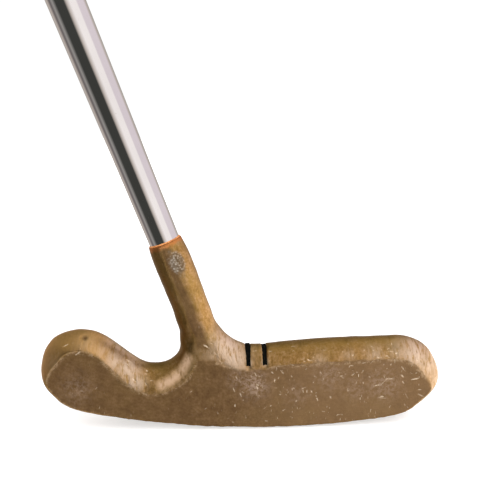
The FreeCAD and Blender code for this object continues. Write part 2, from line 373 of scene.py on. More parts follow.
def tree_of(points):
    """Search tree over points."""
    tree = kdtree.KDTree(len(points))
    for index, point in enumerate(points):
        tree.insert(point, index)
    tree.balance()
    return tree


def voxel_skin(work, name, voxel):
    """Even skin of small voxels over a mesh being edited."""
    mesh = bpy.data.meshes.new(name)
    work.to_mesh(mesh)
    shell = new_piece(name + "_shell", mesh)
    modifier = shell.modifiers.new("skin", "REMESH")
    modifier.mode = "VOXEL"
    modifier.voxel_size = voxel
    graph = bpy.context.evaluated_depsgraph_get()
    skin = bpy.data.meshes.new_from_object(shell.evaluated_get(graph))
    bpy.data.objects.remove(shell)
    return skin


def positions(mesh):
    """Vertex positions as an array."""
    flat = np.zeros(len(mesh.vertices) * 3)
    mesh.vertices.foreach_get("co", flat)
    return flat.reshape(-1, 3)


def normals(mesh):
    """Vertex normals as an array."""
    flat = np.zeros(len(mesh.vertices) * 3, np.float32)
    mesh.vertices.foreach_get("normal", flat)
    return flat.reshape(-1, 3).astype(float)


def set_positions(mesh, places):
    """Write vertex positions back."""
    mesh.vertices.foreach_set("co", places.astype(np.float32).ravel())
    mesh.update()


def edges_of(mesh):
    """Vertex pairs of all edges."""
    flat = np.zeros(len(mesh.edges) * 2, np.int64)
    mesh.edges.foreach_get("vertices", flat)
    return flat.reshape(-1, 2)


def relaxed(places, pairs, weight, rounds):
    """Laplacian smoothing, by weight per vertex."""
    count = np.bincount(pairs.ravel(), minlength=len(places)).astype(float)
    count[count == 0] = 1.0
    for _ in range(rounds):
        total = np.zeros_like(places)
        for axis in range(3):
            total[:, axis] += np.bincount(pairs[:, 0], places[pairs[:, 1], axis], len(places))
            total[:, axis] += np.bincount(pairs[:, 1], places[pairs[:, 0], axis], len(places))
        mean = total / count[:, None]
        places = places + weight[:, None] * 0.6 * (mean - places)
    return places


def filled(mesh, places, pairs, weight, rounds):
    """Smooth hollows only: points move outwards along their normals, never in."""
    for _ in range(rounds):
        set_positions(mesh, places)
        out = normals(mesh)
        moved = relaxed(places, pairs, weight, 8)
        rise = np.einsum("ij,ij->i", moved - places, out)
        places = places + out * np.maximum(rise, 0.0)[:, None]
    return places


def neck_share(places):
    """1 round the place where the hosel grows out of the blade, 0 away from it."""
    along, away = shaft_coordinates(places)
    low = np.clip((along - 18 * MM) / (8 * MM), 0, 1)
    high = np.clip((50 * MM - along) / (10 * MM), 0, 1)
    near = np.clip((17 * MM - away) / (6 * MM), 0, 1)
    return low * high * near


# How much fuller the crown is than an even sweep: (x, growth) in millimetres.
CROWN_GROWTH = (
    (-60, 0.3), (-45, 0.3), (-14, 0.0), (-7, 0.5), (2, -0.5),
    (8, 0.0), (20, 0.6), (36, 0.7), (48, 0.2), (60, 0.6))


def grown(places, out):
    """Fuller crown, with the low spots that hand grinding left."""
    table = np.array(CROWN_GROWTH)
    growth = np.interp(places[:, 0] / MM, table[:, 0], table[:, 1]) * MM
    upward = eased(np.clip((out[:, 2] - 0.15) / 0.6, 0, 1))
    low_enough = np.clip((34 * MM - places[:, 2]) / (6 * MM), 0, 1)
    toe = np.clip((out[:, 0] - 0.4) / 0.4, 0, 1) * np.clip((places[:, 2] - 10 * MM) / (4 * MM), 0, 1)
    toe *= places[:, 0] > 40 * MM
    return places + out * (growth * upward * low_enough + 0.35 * MM * toe)[:, None]


NECK_FILL = (36 * MM, 4.5 * MM, 0.75 * MM)


def neck_filled(places, out):
    """Fuller heel side where the hosel meets the blade, so that the line runs on smoothly."""
    middle, spread, height = NECK_FILL
    along, away = shaft_coordinates(places)
    heelward = np.clip(-(out @ np.array(THUMB)), 0, 1)
    bulge = height * np.exp(-((along - middle) / spread) ** 2) * heelward
    return places + out * (bulge * (away < 14 * MM))[:, None]


def nearness(places, tree, reach_out):
    """1 on the tree's points, falling smoothly to 0 at the reach."""
    found = np.array([min(tree.find(Vector(p))[2], reach_out) for p in places])
    return eased(1 - found / reach_out)


def surface_noise(places, scale, offset=0.0):
    """Smooth noise in -1..1 at each point."""
    shift = Vector((offset, offset * 0.7, -offset))
    return np.array([noise.noise(Vector(p) / scale + shift) for p in places])


def dent(places, along_normal, tree, centre, radius, depth):
    """Press a round dent of the given radius and depth into the surface."""
    for _, index, distance in tree.find_range(centre, 2.2 * radius):
        fall = math.exp(-(distance / radius) ** 2)
        places[index] -= along_normal[index] * depth * fall


def scratch_into(values, tree, start, direction, length, width, strength):
    """Paint a straight scratch onto the vertices that it passes."""
    steps = max(2, int(length / (0.15 * MM)))
    for step in range(steps + 1):
        share = step / steps
        point = start + direction * (length * (share - 0.5))
        fade = strength * (0.35 + 0.65 * math.sin(math.pi * (0.08 + 0.84 * share)))
        for _, index, distance in tree.find_range(point, width):
            values[index] = max(values[index], fade * (1 - 0.6 * distance / width))


# Zones of the front where scratches stand out. Places and lengths in millimetres,
# turns in degrees from level. Each scratch is drawn at random inside its zone.
SCRATCHED = (
    {"x": (40, 58), "z": (9, 19), "count": 10, "length": (0.8, 2.8), "turn": (-70, 60)},
    {"x": (-2, 9), "z": (10, 19), "count": 8, "length": (0.8, 1.9), "turn": (-90, -60)},
    {"x": (10, 40), "z": (7, 19), "count": 9, "length": (0.6, 1.8), "turn": (-90, -30)},
    {"x": (-50, -2), "z": (5, 17), "count": 4, "length": (0.6, 1.8), "turn": (-40, 60)},
    {"x": (10, 50), "z": (22, 26), "count": 16, "length": (1.2, 3.2), "turn": (-30, 80)},
    {"x": (-56, -42), "z": (25, 29), "count": 4, "length": (1.4, 2.4), "turn": (0, 90)},
    {"x": (-38, -26), "z": (15, 22), "count": 6, "length": (1.4, 2.6), "turn": (-70, -30)},
    {"x": (-10, 0), "z": (22, 28), "count": 8, "length": (1.4, 2.6), "turn": (-80, -20)})

# Places on the front painted bright, partly rubbed by handling and partly painted highlight: x, z,
# radius, strength.
RUBBED_AND_HIGHLIT = (
    (-3, 26, 5.5, 1.0), (-1, 23, 4.5, 1.0), (-8, 25, 3.5, 0.7),
    (55, 23, 5.0, 1.0), (59, 19, 3.5, 0.8), (50, 24, 3.5, 0.5),
    (-33, 20, 3.5, 1.0), (-31, 16, 3.0, 0.9), (-37, 23, 3.5, 0.8),
    (-45, 28, 3.5, 0.6), (-41, 26, 3.0, 0.6), (-55, 23, 3.5, 0.5),
    (42, 23, 3.0, 0.5), (34, 23, 2.0, 0.4), (25, 22, 2.0, 0.4))

# Bright spots where the two sight lines run out at the face edge, partly rubbed brass and partly
# painted highlight.
LINE_END_HEIGHT = 21.5
LINE_HALF_WIDTH = 0.75
LINE_ENDS = tuple((x, LINE_END_HEIGHT, 1.1, 1.0) for x in (
    LINES_LOW.x / MM + LINE_HALF_WIDTH, LINES_HIGH.x / MM - LINE_HALF_WIDTH))

# Hazy scuffs on the flat front: x, z, radius, strength.
HAZE = (
    (5, 15, 4.0, 1.0), (0, 17, 3.0, 0.6), (28, 17, 4.5, 0.5),
    (45, 14, 5.0, 0.6), (36, 13, 4.0, 0.4), (-48, 15, 4.5, 0.4), (18, 11, 4.0, 0.3))


def on_front(bvh, x, z):
    """Point on the front of the head at an x and z in millimetres, or None."""
    return bvh.ray_cast(Vector((x * MM, -0.05, z * MM)), Vector((0, 1, 0)))[0]


def along_face(turn):
    """Direction in the plane of the face, turned from level by an angle in radians."""
    return Vector((math.cos(turn), 0, math.sin(turn)))


def zone_marks(draw, bvh):
    """Scratches that stand out, drawn at random inside each scratched zone."""
    marks = []
    for zone in SCRATCHED:
        for _ in range(zone["count"]):
            point = on_front(bvh, draw.uniform(*zone["x"]), draw.uniform(*zone["z"]))
            direction = along_face(math.radians(draw.uniform(*zone["turn"])))
            length = draw.uniform(*zone["length"]) * MM
            strength = draw.uniform(0.3, 0.9)
            if point is not None:
                marks.append((point, direction, length, strength))
    return marks


def head_marks_list(bvh):
    """Every scratch as (middle, direction, length, strength), front and back."""
    draw = random.Random(SEED)
    marks = zone_marks(draw, bvh)
    for side in (-1, 1):
        for number in range(FLECKS_A_SIDE):
            heel_end = -54 if number % 4 == 0 else -2
            start = Vector((draw.uniform(heel_end, 60) * MM, side * 0.05,
                            draw.uniform(2, 25) * MM))
            point = bvh.ray_cast(start, Vector((0, -side, 0)))[0]
            direction = along_face(draw.uniform(0, math.pi))
            length = draw.uniform(0.25, 1.0) * MM
            strength = draw.uniform(0.25, 0.75) * (1.0 if start.x > -0.01 else 0.6)
            if point is not None and point.z < 28 * MM:
                marks.append((point, direction, length, strength))
    return marks


def refined(mesh, marks):
    """Finer mesh along the scratches."""
    samples = []
    for point, direction, length, _ in marks:
        steps = max(2, int(length / (0.3 * MM)))
        samples += [point + direction * (length * (i / steps - 0.5)) for i in range(steps + 1)]
    tree = tree_of(samples)
    work = bmesh.new()
    work.from_mesh(mesh)
    near = [edge for edge in work.edges
            if tree.find((edge.verts[0].co + edge.verts[1].co) / 2)[2] < 0.45 * MM]
    bmesh.ops.subdivide_edges(work, edges=near, cuts=2, use_grid_fill=True)
    bmesh.ops.triangulate(work, faces=[face for face in work.faces if len(face.verts) > 4])
    work.to_mesh(mesh)
    work.free()
    mesh.update()


def head_marks(places, out, tree, bvh, marks):
    """Cut the scratches, dings and the pit. Returns the painted scratch and pit values."""
    scratches = np.zeros(len(places))
    pits = np.zeros(len(places))
    for point, direction, length, strength in marks:
        width = (0.11 + 0.13 * strength * strength) * MM
        scratch_into(scratches, tree, point, direction, length, width, strength)
    places -= out * (scratches * 0.07 * MM)[:, None]
    for point, _, length, strength in marks[::2]:
        dent(places, out, tree, point, 0.5 * length, 0.07 * MM * strength)
    lobe = on_front(bvh, -45.7, 29.7)
    dent(places, out, tree, lobe, 0.7 * MM, 0.35 * MM)
    for _, index, distance in tree.find_range(lobe, 1.2 * MM):
        pits[index] = max(pits[index], 1 - distance / (1.2 * MM))
    return scratches, pits


def spotted(places, spots, bvh):
    """Soft round spots laid on the front of the head, from 0 to 1."""
    values = np.zeros(len(places))
    for x, z, radius, strength in spots:
        centre = on_front(bvh, x, z)
        if centre is None:
            continue
        gap = np.linalg.norm(places - np.array(centre), axis=1) / (radius * MM)
        values = np.maximum(values, strength * np.exp(-gap * gap))
    return values


def rub_and_highlight_mask(places, facing, flatness, bvh):
    """How bright the brass is painted, from 0 to 1: painted highlight on sides that face the toe,
    and listed spots that are partly rubbed and partly painted highlight; none on the flat faces.
    """
    # Painted highlight: sides that face the toe are made brighter, up to 33 mm high.
    rub_and_highlight = 0.55 * np.clip((facing[:, 0] - 0.22) / 0.4, 0, 1)
    rub_and_highlight *= np.clip((33 * MM - places[:, 2]) / (5 * MM), 0, 1)
    return np.maximum(rub_and_highlight, spotted(places, RUBBED_AND_HIGHLIT + LINE_ENDS, bvh)) * (1 - flatness)


# Ridge at the foot of the hosel, painted bright as a scuff and as a painted highlight: x and z on
# the front.
SCUFF_AND_HIGHLIGHT_RIDGE = ((-23, 15), (-20, 16.5), (-17, 19), (-15, 23))


def points_along(line, bvh):
    """Points every half millimetre along a line laid on the front of the head."""
    points = []
    for (x0, z0), (x1, z1) in zip(line, line[1:]):
        steps = max(1, int(math.hypot(x1 - x0, z1 - z0) / 0.5))
        for step in range(steps + 1):
            share = step / steps
            place = Vector(((x0 + share * (x1 - x0)) * MM, -0.05, (z0 + share * (z1 - z0)) * MM))
            hit = bvh.ray_cast(place, Vector((0, 1, 0)))[0]
            if hit is not None:
                points.append(hit)
    return points


def surface_of(mesh):
    """Search tree over a mesh's surface."""
    work = bmesh.new()
    work.from_mesh(mesh)
    surface = BVHTree.FromBMesh(work)
    work.free()
    return surface


def worn_patch(places, out):
    """Pitted grey patch on the hosel, front and toe side, just below the mouth."""
    values = np.zeros(len(places))
    toward = (Vector((0, -1, 0)) * 0.93 + THUMB * 0.37).normalized()
    for index, place in enumerate(places):
        point = Vector(place)
        distance = MOUTH - point.dot(AXIS)
        if not 0 < distance < 13 * MM:
            continue
        flat = point - AXIS * point.dot(AXIS)
        if flat.length > 8 * MM:
            continue
        off = math.acos(max(-1.0, min(1.0, flat.normalized().dot(toward))))
        across = off * 5.5 * MM / (2.1 * MM)
        down = (distance - 6.2 * MM) / (3.7 * MM)
        size = math.hypot(across, down)
        ragged = 0.35 * noise.noise(point / (1.3 * MM))
        values[index] = max(0.0, min(1.0, (1.25 + ragged - size) / 0.5))
    speckle = surface_noise(places, 0.55 * MM, 3.1)
    places -= out * (values * np.clip(speckle, -0.2, 1.0) * 0.09 * MM)[:, None]
    return values


def store(mesh, name, values):
    """Keep one value per vertex as a named attribute."""
    layer = mesh.attributes.new(name, "FLOAT", "POINT")
    layer.data.foreach_set("value", values.astype(np.float32))


def cut_bore(piece, bore):
    """Drill the shaft's bore back into the skin."""
    profile = [(BORE_FLOOR, 0.0), (BORE_FLOOR, bore), (MOUTH + 3 * MM, bore),
               (MOUTH + 3 * MM, 0.0)]
    drill = new_piece("drill", turned_mesh("drill", profile, 96))
    modifier = piece.modifiers.new("bore", "BOOLEAN")
    modifier.operation = "DIFFERENCE"
    modifier.solver = "EXACT"
    modifier.object = drill
    graph = bpy.context.evaluated_depsgraph_get()
    mesh = bpy.data.meshes.new_from_object(piece.evaluated_get(graph))
    piece.modifiers.clear()
    piece.data = mesh
    bpy.data.objects.remove(drill)


def shaped_head(work, outer, inner, bvh):
    """Skin of the casting: blended hosel foot, fuller crown, wobble and nicked edges."""
    mesh = voxel_skin(work, "putter_head", VOXEL)
    places = positions(mesh)
    for index, place in enumerate(places):
        places[index] = bvh.find_nearest(Vector(place))[0]
    set_positions(mesh, places)
    pairs = edges_of(mesh)
    foot = nearness(places, tree_of(inner), BLEND_REACH)
    places = relaxed(places, pairs, foot, 30)
    places = filled(mesh, places, pairs, neck_share(places), 20)
    ridge = nearness(places, tree_of(outer), 0.8 * MM)
    places = relaxed(places, pairs, 0.25 + 0.35 * ridge, 2)
    set_positions(mesh, places)
    out = normals(mesh)
    places = neck_filled(grown(places, out), out)
    along, _ = shaft_coordinates(places)
    calm = np.clip((MOUTH - 1.0 * MM - along) / (4 * MM), 0, 1)
    wobble = 0.10 * surface_noise(places, 8 * MM) + 0.06 * surface_noise(places, 2.6 * MM, 5.0)
    nicks = ridge * 0.13 * surface_noise(places, 1.5 * MM, 9.0)
    places = places + out * ((wobble + nicks) * calm * MM)[:, None]
    places[:, 2] = np.maximum(places[:, 2], 0.0)
    set_positions(mesh, places)
    return mesh


def wear_and_painted_light_masks(places, out, outer, bvh):
    """Where the brass is flat, rubbed or scuffed with painted highlight, in painted shade (sides
    that face the heel, undersides, tops that face up) or hazy, by attribute name.
    """
    along, _ = shaft_coordinates(places)
    flatness = np.clip((np.abs(out[:, 1]) - 0.93) / 0.06, 0, 1)
    crown_edges = [point for point in outer if point.z > 9 * MM and abs(point.x) < 58 * MM]
    ridge_tree = tree_of(points_along(SCUFF_AND_HIGHLIGHT_RIDGE, bvh))
    toeward_of_lobe = places[:, 0] > -38 * MM
    heel_facing = np.clip((-out[:, 0] - 0.30) / 0.4, 0, 1) * toeward_of_lobe
    underside = np.clip((-out[:, 2] - 0.12) / 0.35, 0, 1)
    return {
        "wear": 0.55 * nearness(places, tree_of(crown_edges), 1.0 * MM),
        "below_mouth": (MOUTH - along) / MM,
        "flat": flatness,
        # Partly rubbed brass, partly painted highlight.
        "rub_and_highlight": rub_and_highlight_mask(places, out, flatness, bvh),
        # Ridge painted bright: partly a scuff, partly painted highlight.
        "scuff_and_highlight": nearness(places, ridge_tree, 3.0 * MM) * (1 - flatness),
        # Painted shade on sides that face the heel and on undersides.
        "shade": np.maximum(heel_facing * (1 - flatness), 0.85 * underside),
        "haze": spotted(places, HAZE, bvh),
        # Painted shade: tops that face up are darkened.
        "top": np.clip((out[:, 2] - 0.66) / 0.25, 0, 1) * toeward_of_lobe}


def build_head():
    """Hand-ground brass casting with its marks, worn places, painted highlights, painted shade and
    bore.
    """
    work, bore = plugged_head()
    outer, inner = creases(work)
    bvh = BVHTree.FromBMesh(work)
    mesh = shaped_head(work, outer, inner, bvh)
    work.free()
    marks = head_marks_list(surface_of(mesh))
    refined(mesh, marks)
    places = positions(mesh)
    out = normals(mesh)
    scratches, pits = head_marks(places, out, tree_of(places), bvh, marks)
    patch = worn_patch(places, out)
    set_positions(mesh, places)
    painted = {"scratch": scratches, "pit": pits, "patch": patch}
    painted.update(wear_and_painted_light_masks(places, out, outer, bvh))
    for name, values in painted.items():
        store(mesh, name, values)
    piece = new_piece("putter_head", mesh)
    cut_bore(piece, bore)
    smooth_shaded(piece.data, 60.0)
    return finish_piece(piece, aged_brass(), "aged_brass", "head")


def streaks(s, turn, low, high):
    """Short thin straight scratches that lie at one angle on the front and back."""
    line = s.noise(1.0, 1.5, 0.5, s.stretched((3300, 500, 420), (0, turn, 0)))
    return s.band(line, low, high)


def patina(s, mottle, fine, to_toe):
    """Colour of the brass before wear: brown faces, golden crown, olive and grime, with painted
    shade on sides that face the heel and on undersides.
    """
    spots = s.plus(s.times(mottle, 0.5), s.times(fine, 0.5))
    face = s.ramp(spots, (0.34, (0.125, 0.064, 0.022)), (0.50, (0.180, 0.099, 0.037)),
                  (0.66, (0.25, 0.145, 0.064)))
    crown = s.ramp(spots, (0.34, (0.31, 0.170, 0.042)), (0.50, (0.52, 0.305, 0.105)),
                   (0.66, (0.74, 0.48, 0.25)))
    face = s.mix(s.times(to_toe, 0.5), face, (0.33, 0.20, 0.095))
    colour = s.mix(s.painted("flat"), crown, face)
    off_face = s.minus(1.0, s.times(s.painted("flat"), 0.8))
    olive = s.times(s.times(s.band(s.noise(70, 3, 0.6), 0.45, 0.7), 0.4), off_face)
    colour = s.mix(olive, colour, (0.40, 0.27, 0.08))
    grime = s.times(s.band(s.noise(900, 5, 0.7), 0.58, 0.74), 0.5)
    colour = s.mix(grime, colour, (0.16, 0.09, 0.03))
    # Painted shade: sides that face the heel and undersides are darkened.
    return s.mix(s.times(s.painted("shade"), 0.75), colour, (0.22, 0.125, 0.030))


def worn_with_painted_light(s, colour, brushed, scuffed_and_highlit, toeward):
    """Brass colour with painted shade on tops that face up, rubbed and scuffed places that are
    partly painted highlight, warm places and edge-worn places.
    """
    rubbed_and_highlit = s.times(s.painted("rub_and_highlight"), s.band(brushed, 0.28, 0.56))
    # Painted shade: tops that face up are mixed towards a darker olive.
    colour = s.mix(s.times(s.painted("top"), 0.65), colour, (0.30, 0.185, 0.045))
    # Partly rubbed brass, partly painted highlight, mixed towards pale bright brass.
    colour = s.mix(s.times(rubbed_and_highlit, 0.92), colour, (0.97, 0.78, 0.60))
    # Ridge mixed towards pale brass: partly a scuff, partly painted highlight.
    colour = s.mix(scuffed_and_highlit, colour, (0.55, 0.37, 0.24))
    to_heel = s.band(toeward, -0.036, -0.044)
    warm = s.times(to_heel, s.minus(1.0, s.painted("flat")))
    colour = s.mix(s.times(warm, 0.6), colour, (0.90, 0.54, 0.20))
    worn = s.times(s.painted("wear"), s.band(s.noise(760, 5, 0.75), 0.44, 0.62))
    return s.mix(s.times(worn, 0.7), colour, (0.90, 0.66, 0.42))


def scratch_lines(s, to_toe):
    """Fine straight scratches at three angles, and the scratches cut in the mesh."""
    lines = s.math("MAXIMUM", streaks(s, 8, 0.74, 0.80), streaks(s, 42, 0.75, 0.80))
    lines = s.math("MAXIMUM", lines, streaks(s, -58, 0.75, 0.80))
    crowd = s.band(s.noise(120, 2, 0.5), 0.35, 0.65)
    lines = s.times(lines, s.times(crowd, s.plus(to_toe, 0.35)))
    cut = s.times(s.painted("scratch"), s.band(s.noise(1700, 3, 0.7), 0.36, 0.52))
    return s.math("MAXIMUM", s.times(lines, 0.8), cut, clamp=True)


def marked(s, colour, lines):
    """Brass colour with haze, scratches, the pit, the pitted patch and rust at the mouth."""
    cloud = s.times(s.painted("haze"), s.band(s.noise(800, 5, 0.75), 0.40, 0.62))
    colour = s.mix(s.times(cloud, 0.6), colour, (0.62, 0.46, 0.36))
    colour = s.mix(lines, colour, (1.0, 0.83, 0.62))
    colour = s.mix(s.painted("pit"), colour, (0.10, 0.05, 0.02))
    speckle = s.ramp(s.cells(1500), (0.16, (0.80, 0.76, 0.68)), (0.34, (0.42, 0.38, 0.32)),
                     (0.62, (0.20, 0.17, 0.13)))
    colour = s.mix(s.times(s.painted("patch"), 0.7), colour, speckle)
    rust_edge = s.plus(s.painted("below_mouth"), s.times(s.noise(480, 3), 2.2))
    rust = s.band(rust_edge, 1.5, 2.9, 1.0, 0.0)
    return s.mix(s.times(rust, 0.85), colour, (0.78, 0.30, 0.09))


def brass_roughness(s, mottle, lines):
    """Roughness of the brass: more on the faces and the patch, less in the scratches."""
    rough = s.band(mottle, 0.25, 0.75, 0.33, 0.47)
    rough = s.plus(rough, s.times(s.painted("patch"), 0.2))
    rough = s.plus(rough, s.times(s.painted("flat"), 0.12))
    return s.minus(rough, s.times(lines, 0.12), clamp=True)


def aged_brass():
    """Brown hand-ground brass: mottled patina, bright worn edges, file marks and scratches, with
    painted shade and painted highlights.
    """
    s = Shader("aged_brass")
    mottle = s.noise(330, 5, 0.62)
    fine = s.noise(1300, 4, 0.65)
    separate = s.node("ShaderNodeSeparateXYZ")
    s.link(s.place, separate.inputs[0])
    toeward = separate.outputs["X"]
    to_toe = s.band(toeward, -0.01, 0.03)
    brushed = s.noise(1.0, 4, 0.65, s.stretched((1300, 260, 420), (0, 20, 0)))
    scuffed_and_highlit = s.times(s.painted("scuff_and_highlight"), s.band(brushed, 0.22, 0.50))
    lines = scratch_lines(s, to_toe)
    colour = worn_with_painted_light(s, patina(s, mottle, fine, to_toe), brushed, scuffed_and_highlit, toeward)
    s.set("Base Color", marked(s, colour, lines))
    metal = s.minus(1.0, s.times(s.painted("flat"), 0.45))
    # Less metallic on the scuffed ridge with its painted highlight, so the lamps light it.
    metal = s.minus(metal, s.times(scuffed_and_highlit, 0.7), clamp=True)
    s.set("Metallic", s.times(metal, s.minus(1.0, s.times(lines, 0.6))))
    s.set("Roughness", brass_roughness(s, mottle, lines))
    filing = s.noise(1.0, 3, 0.6, s.stretched((2600, 260, 420), (0, 12, 0)))
    file_marks = s.times(filing, s.minus(1.0, s.painted("flat")))
    swirl = s.noise(1.0, 3, 0.6, s.stretched((420, 900, 2300), (0, -35, 0)))
    face_marks = s.times(swirl, s.painted("flat"))
    strokes = s.times(brushed, s.painted("rub_and_highlight"))
    s.bump((s.noise(2600, 4, 0.6), 0.25, 0.00005), (file_marks, 0.75, 0.00012),
           (strokes, 0.9, 0.00030), (face_marks, 0.35, 0.00006), (mottle, 0.55, 0.00025),
           (fine, 0.35, 0.00010), (s.times(lines, -1.0), 0.5, 0.0001))
    return s.material


PAINT_SHORT = 1.0 * MM
PAINT_VOXEL = 0.14 * MM


def build_line_paint():
    """Worn paint in the sight lines: short of the face edges, with an uneven skin."""
    work = bmesh.new()
    work.from_mesh(frame["nodes"]["sight_line_paint"].data)
    bmesh.ops.remove_doubles(work, verts=work.verts, dist=2e-6)
    cut = Vector((0, 0, LINES_LOW.z + PAINT_SHORT))
    everything = list(work.verts) + list(work.edges) + list(work.faces)
    bmesh.ops.bisect_plane(work, geom=everything, plane_co=cut, plane_no=(0.04, 0, -1),
                           clear_outer=True)
    open_edges = [edge for edge in work.edges if edge.is_boundary]
    bmesh.ops.contextual_create(work, geom=open_edges)
    bmesh.ops.holes_fill(work, edges=[edge for edge in work.edges if edge.is_boundary])
    skin = voxel_skin(work, "line_paint", PAINT_VOXEL)
    work.free()
    places = positions(skin)
    places = relaxed(places, edges_of(skin), np.ones(len(places)), 3)
    set_positions(skin, places)
    rough = 0.05 * surface_noise(places, 0.9 * MM) + 0.05 * surface_noise(places, 2.2 * MM, 4.0)
    set_positions(skin, places + normals(skin) * (rough * MM)[:, None])
    return finished("line_paint", skin, 70.0, line_paint(), "black_paint", "sight_line_paint")


def line_paint():
    """Old black paint in the sight lines."""
    s = Shader("line_paint")
    s.mottled(900, (0.55, 0.80), (0.35, (0.0010, 0.0012, 0.0009)),
              (0.62, (0.0045, 0.0045, 0.0035)), (0.80, (0.03, 0.025, 0.015)))
    s.surface.inputs["Specular IOR Level"].default_value = 0.02
    s.bump((s.noise(1500, 4, 0.6), 0.6, 0.00012))
    return s.material


def old_glue():
    """Orange-brown glue and rust at the mouth of the hosel."""
    s = Shader("old_glue")
    s.mottled(1200, (0.35, 0.65), (0.3, (0.30, 0.09, 0.02)), (0.55, (0.62, 0.24, 0.07)),
              (0.75, (0.78, 0.42, 0.18)))
    s.bump((s.noise(3000, 3, 0.6), 0.4, 0.00008))
    return s.material


# ------------------------------------------------------------------ shaft
SHAFT_WALL = 0.55 * MM
STEP_ROWS = 6
ROUND = 128


def shaft_profile():
    """Outside of the stepped shaft, read from the CAD part: (distance, radius), tip to butt."""
    along, away = shaft_coordinates(points_of("shaft"))
    corners = []
    for distance, radius in sorted(zip(along.tolist(), away.tolist())):
        if corners and radius < corners[-1][1] - 0.02 * MM:
            continue
        if corners and distance - corners[-1][0] < 0.3 * MM:
            corners[-1][1] = max(corners[-1][1], radius)
        else:
            corners.append([distance, radius])
    return corners


def build_shaft():
    """Chromed stepped tube with softened steps."""
    corners = shaft_profile()
    outside = []
    for (start, low), (end, high) in zip(corners, corners[1:]):
        rows = STEP_ROWS if end - start < 3 * MM else max(1, int((end - start) / (8 * MM)))
        for row in range(rows):
            share = row / rows
            rise = eased(share) if rows == STEP_ROWS else share
            outside.append((start + (end - start) * share, low + (high - low) * rise))
    outside.append(corners[-1])
    inside = [(distance, radius - SHAFT_WALL) for distance, radius in reversed(outside)]
    mesh = turned_mesh("shaft_tube", outside + inside, ROUND)
    return finished("shaft_tube", mesh, 40.0, chrome_steel(), "chrome_steel", "shaft")


def chrome_steel():
    """Polished chrome plate with handling marks, faint haze and tiny rust specks."""
    s = Shader("chrome_steel")
    haze = s.noise(60, 3, 0.6)
    pores = s.band(s.noise(1400, 3, 0.7), 0.70, 0.78)
    near_hosel = s.noise(220, 4, 0.7)
    colour = s.ramp(haze, (0.3, (0.80, 0.80, 0.81)), (0.7, (0.86, 0.86, 0.87)))
    colour = s.mix(s.times(pores, 0.55), colour, (0.25, 0.16, 0.10))
    s.set("Base Color", colour)
    s.set("Metallic", 1.0)
    rough = s.band(haze, 0.3, 0.75, 0.045, 0.10)
    rough = s.plus(rough, s.times(pores, 0.3))
    s.set("Roughness", s.plus(rough, s.band(near_hosel, 0.62, 0.85, 0.0, 0.08)))
    lines = s.noise(1.0, 2, 0.5, s.stretched((900, 900, 24), (0, -20, 0)))
    s.bump((lines, 0.10, 0.00002), (s.noise(900, 3, 0.6), 0.06, 0.00002))
    return s.material


# ------------------------------------------------------------------ grip
def spaced(low, high, step):
    """Distances from low to high, about one step apart."""
    rows = int((high - low) / step)
    return [low + (high - low) * row / rows for row in range(rows + 1)]


INNER_ROWS = 12


def skin_mesh(name, places, segments, outer, inner):
    """Closed sleeve: outer(distance, angle) and inner(distance, angle) give its radii."""
    length = places[-1] - places[0]
    inside = [places[0] + length * step / INNER_ROWS for step in range(INNER_ROWS + 1)]
    angles = turns(segments)
    rings = [ring_of(place, [outer(place, angle) for angle in angles]) for place in places]
    rings += [ring_of(place, [inner(place, angle) for angle in angles])
              for place in reversed(inside)]
    return closed_rings(name, rings)


GRIP_FOOT, GRIP_TOP = reach("leather_wrap")
LEATHER_FOOT = paddle_size("leather_wrap", GRIP_FOOT)
LEATHER_TOP = paddle_size("leather_wrap", GRIP_TOP)
RUBBER_FOOT = paddle_size("underlisting", GRIP_FOOT)
RUBBER_TOP = paddle_size("underlisting", GRIP_TOP)
STRIP_PITCH = 21 * MM
LAP_HEIGHT = 0.42 * MM
HOLE_RADIUS = 0.95 * MM
HOLE_DEPTH = 0.45 * MM
HOLE_PITCH = 6.0 * MM
TURN_LENGTH = 72 * MM
TAPE_PITCH = 2.6 * MM


def tapered(foot, top, share, angle):
    """Radius of a tapered paddle, a share of the way from its foot to its top."""
    radius = foot[0] + share * (top[0] - foot[0])
    flat = foot[1] + share * (top[1] - foot[1])
    return paddle_radius(radius, flat, angle)


def grip_outline(foot, top, distance, angle):
    """Radius of the grip's paddle form at a distance along the axis."""
    return tapered(foot, top, (distance - GRIP_FOOT) / (GRIP_TOP - GRIP_FOOT), angle)


def strip_place(distance, angle):
    """Place in the wound strip: across it from 0 to 1, and along it in metres."""
    turns = (distance - GRIP_FOOT) / STRIP_PITCH - angle / (2 * math.pi)
    return turns % 1.0, (math.floor(turns) + angle / (2 * math.pi)) * TURN_LENGTH


def hole_share(across, along):
    """How deep in a punched hole a place in the strip is, from 0 to 1."""
    deepest = 0.0
    for row, shift in ((0.25, 0.0), (0.47, 0.5), (0.69, 0.0)):
        near = (along / HOLE_PITCH + shift) % 1.0 - 0.5
        gap = math.hypot((across - row) * STRIP_PITCH, near * HOLE_PITCH)
        deepest = max(deepest, 1 - (gap / HOLE_RADIUS) ** 2)
    return deepest


def leather_surface(distance, angle):
    """Outside of the leather: each turn laps over the last, with punched holes."""
    across, along = strip_place(distance, angle)
    lap = across if across < 0.955 else (1 - across) / 0.045
    edge = 0.14 * MM * math.exp(-((across - 0.93) / 0.03) ** 2)
    sink = LAP_HEIGHT * (1 - lap) + edge + HOLE_DEPTH * hole_share(across, along)
    point = place_on_axis(distance, 10 * MM, angle)
    sink += 0.08 * MM * (1 + noise.noise(point / (4 * MM)))
    return grip_outline(LEATHER_FOOT, LEATHER_TOP, distance, angle) - sink


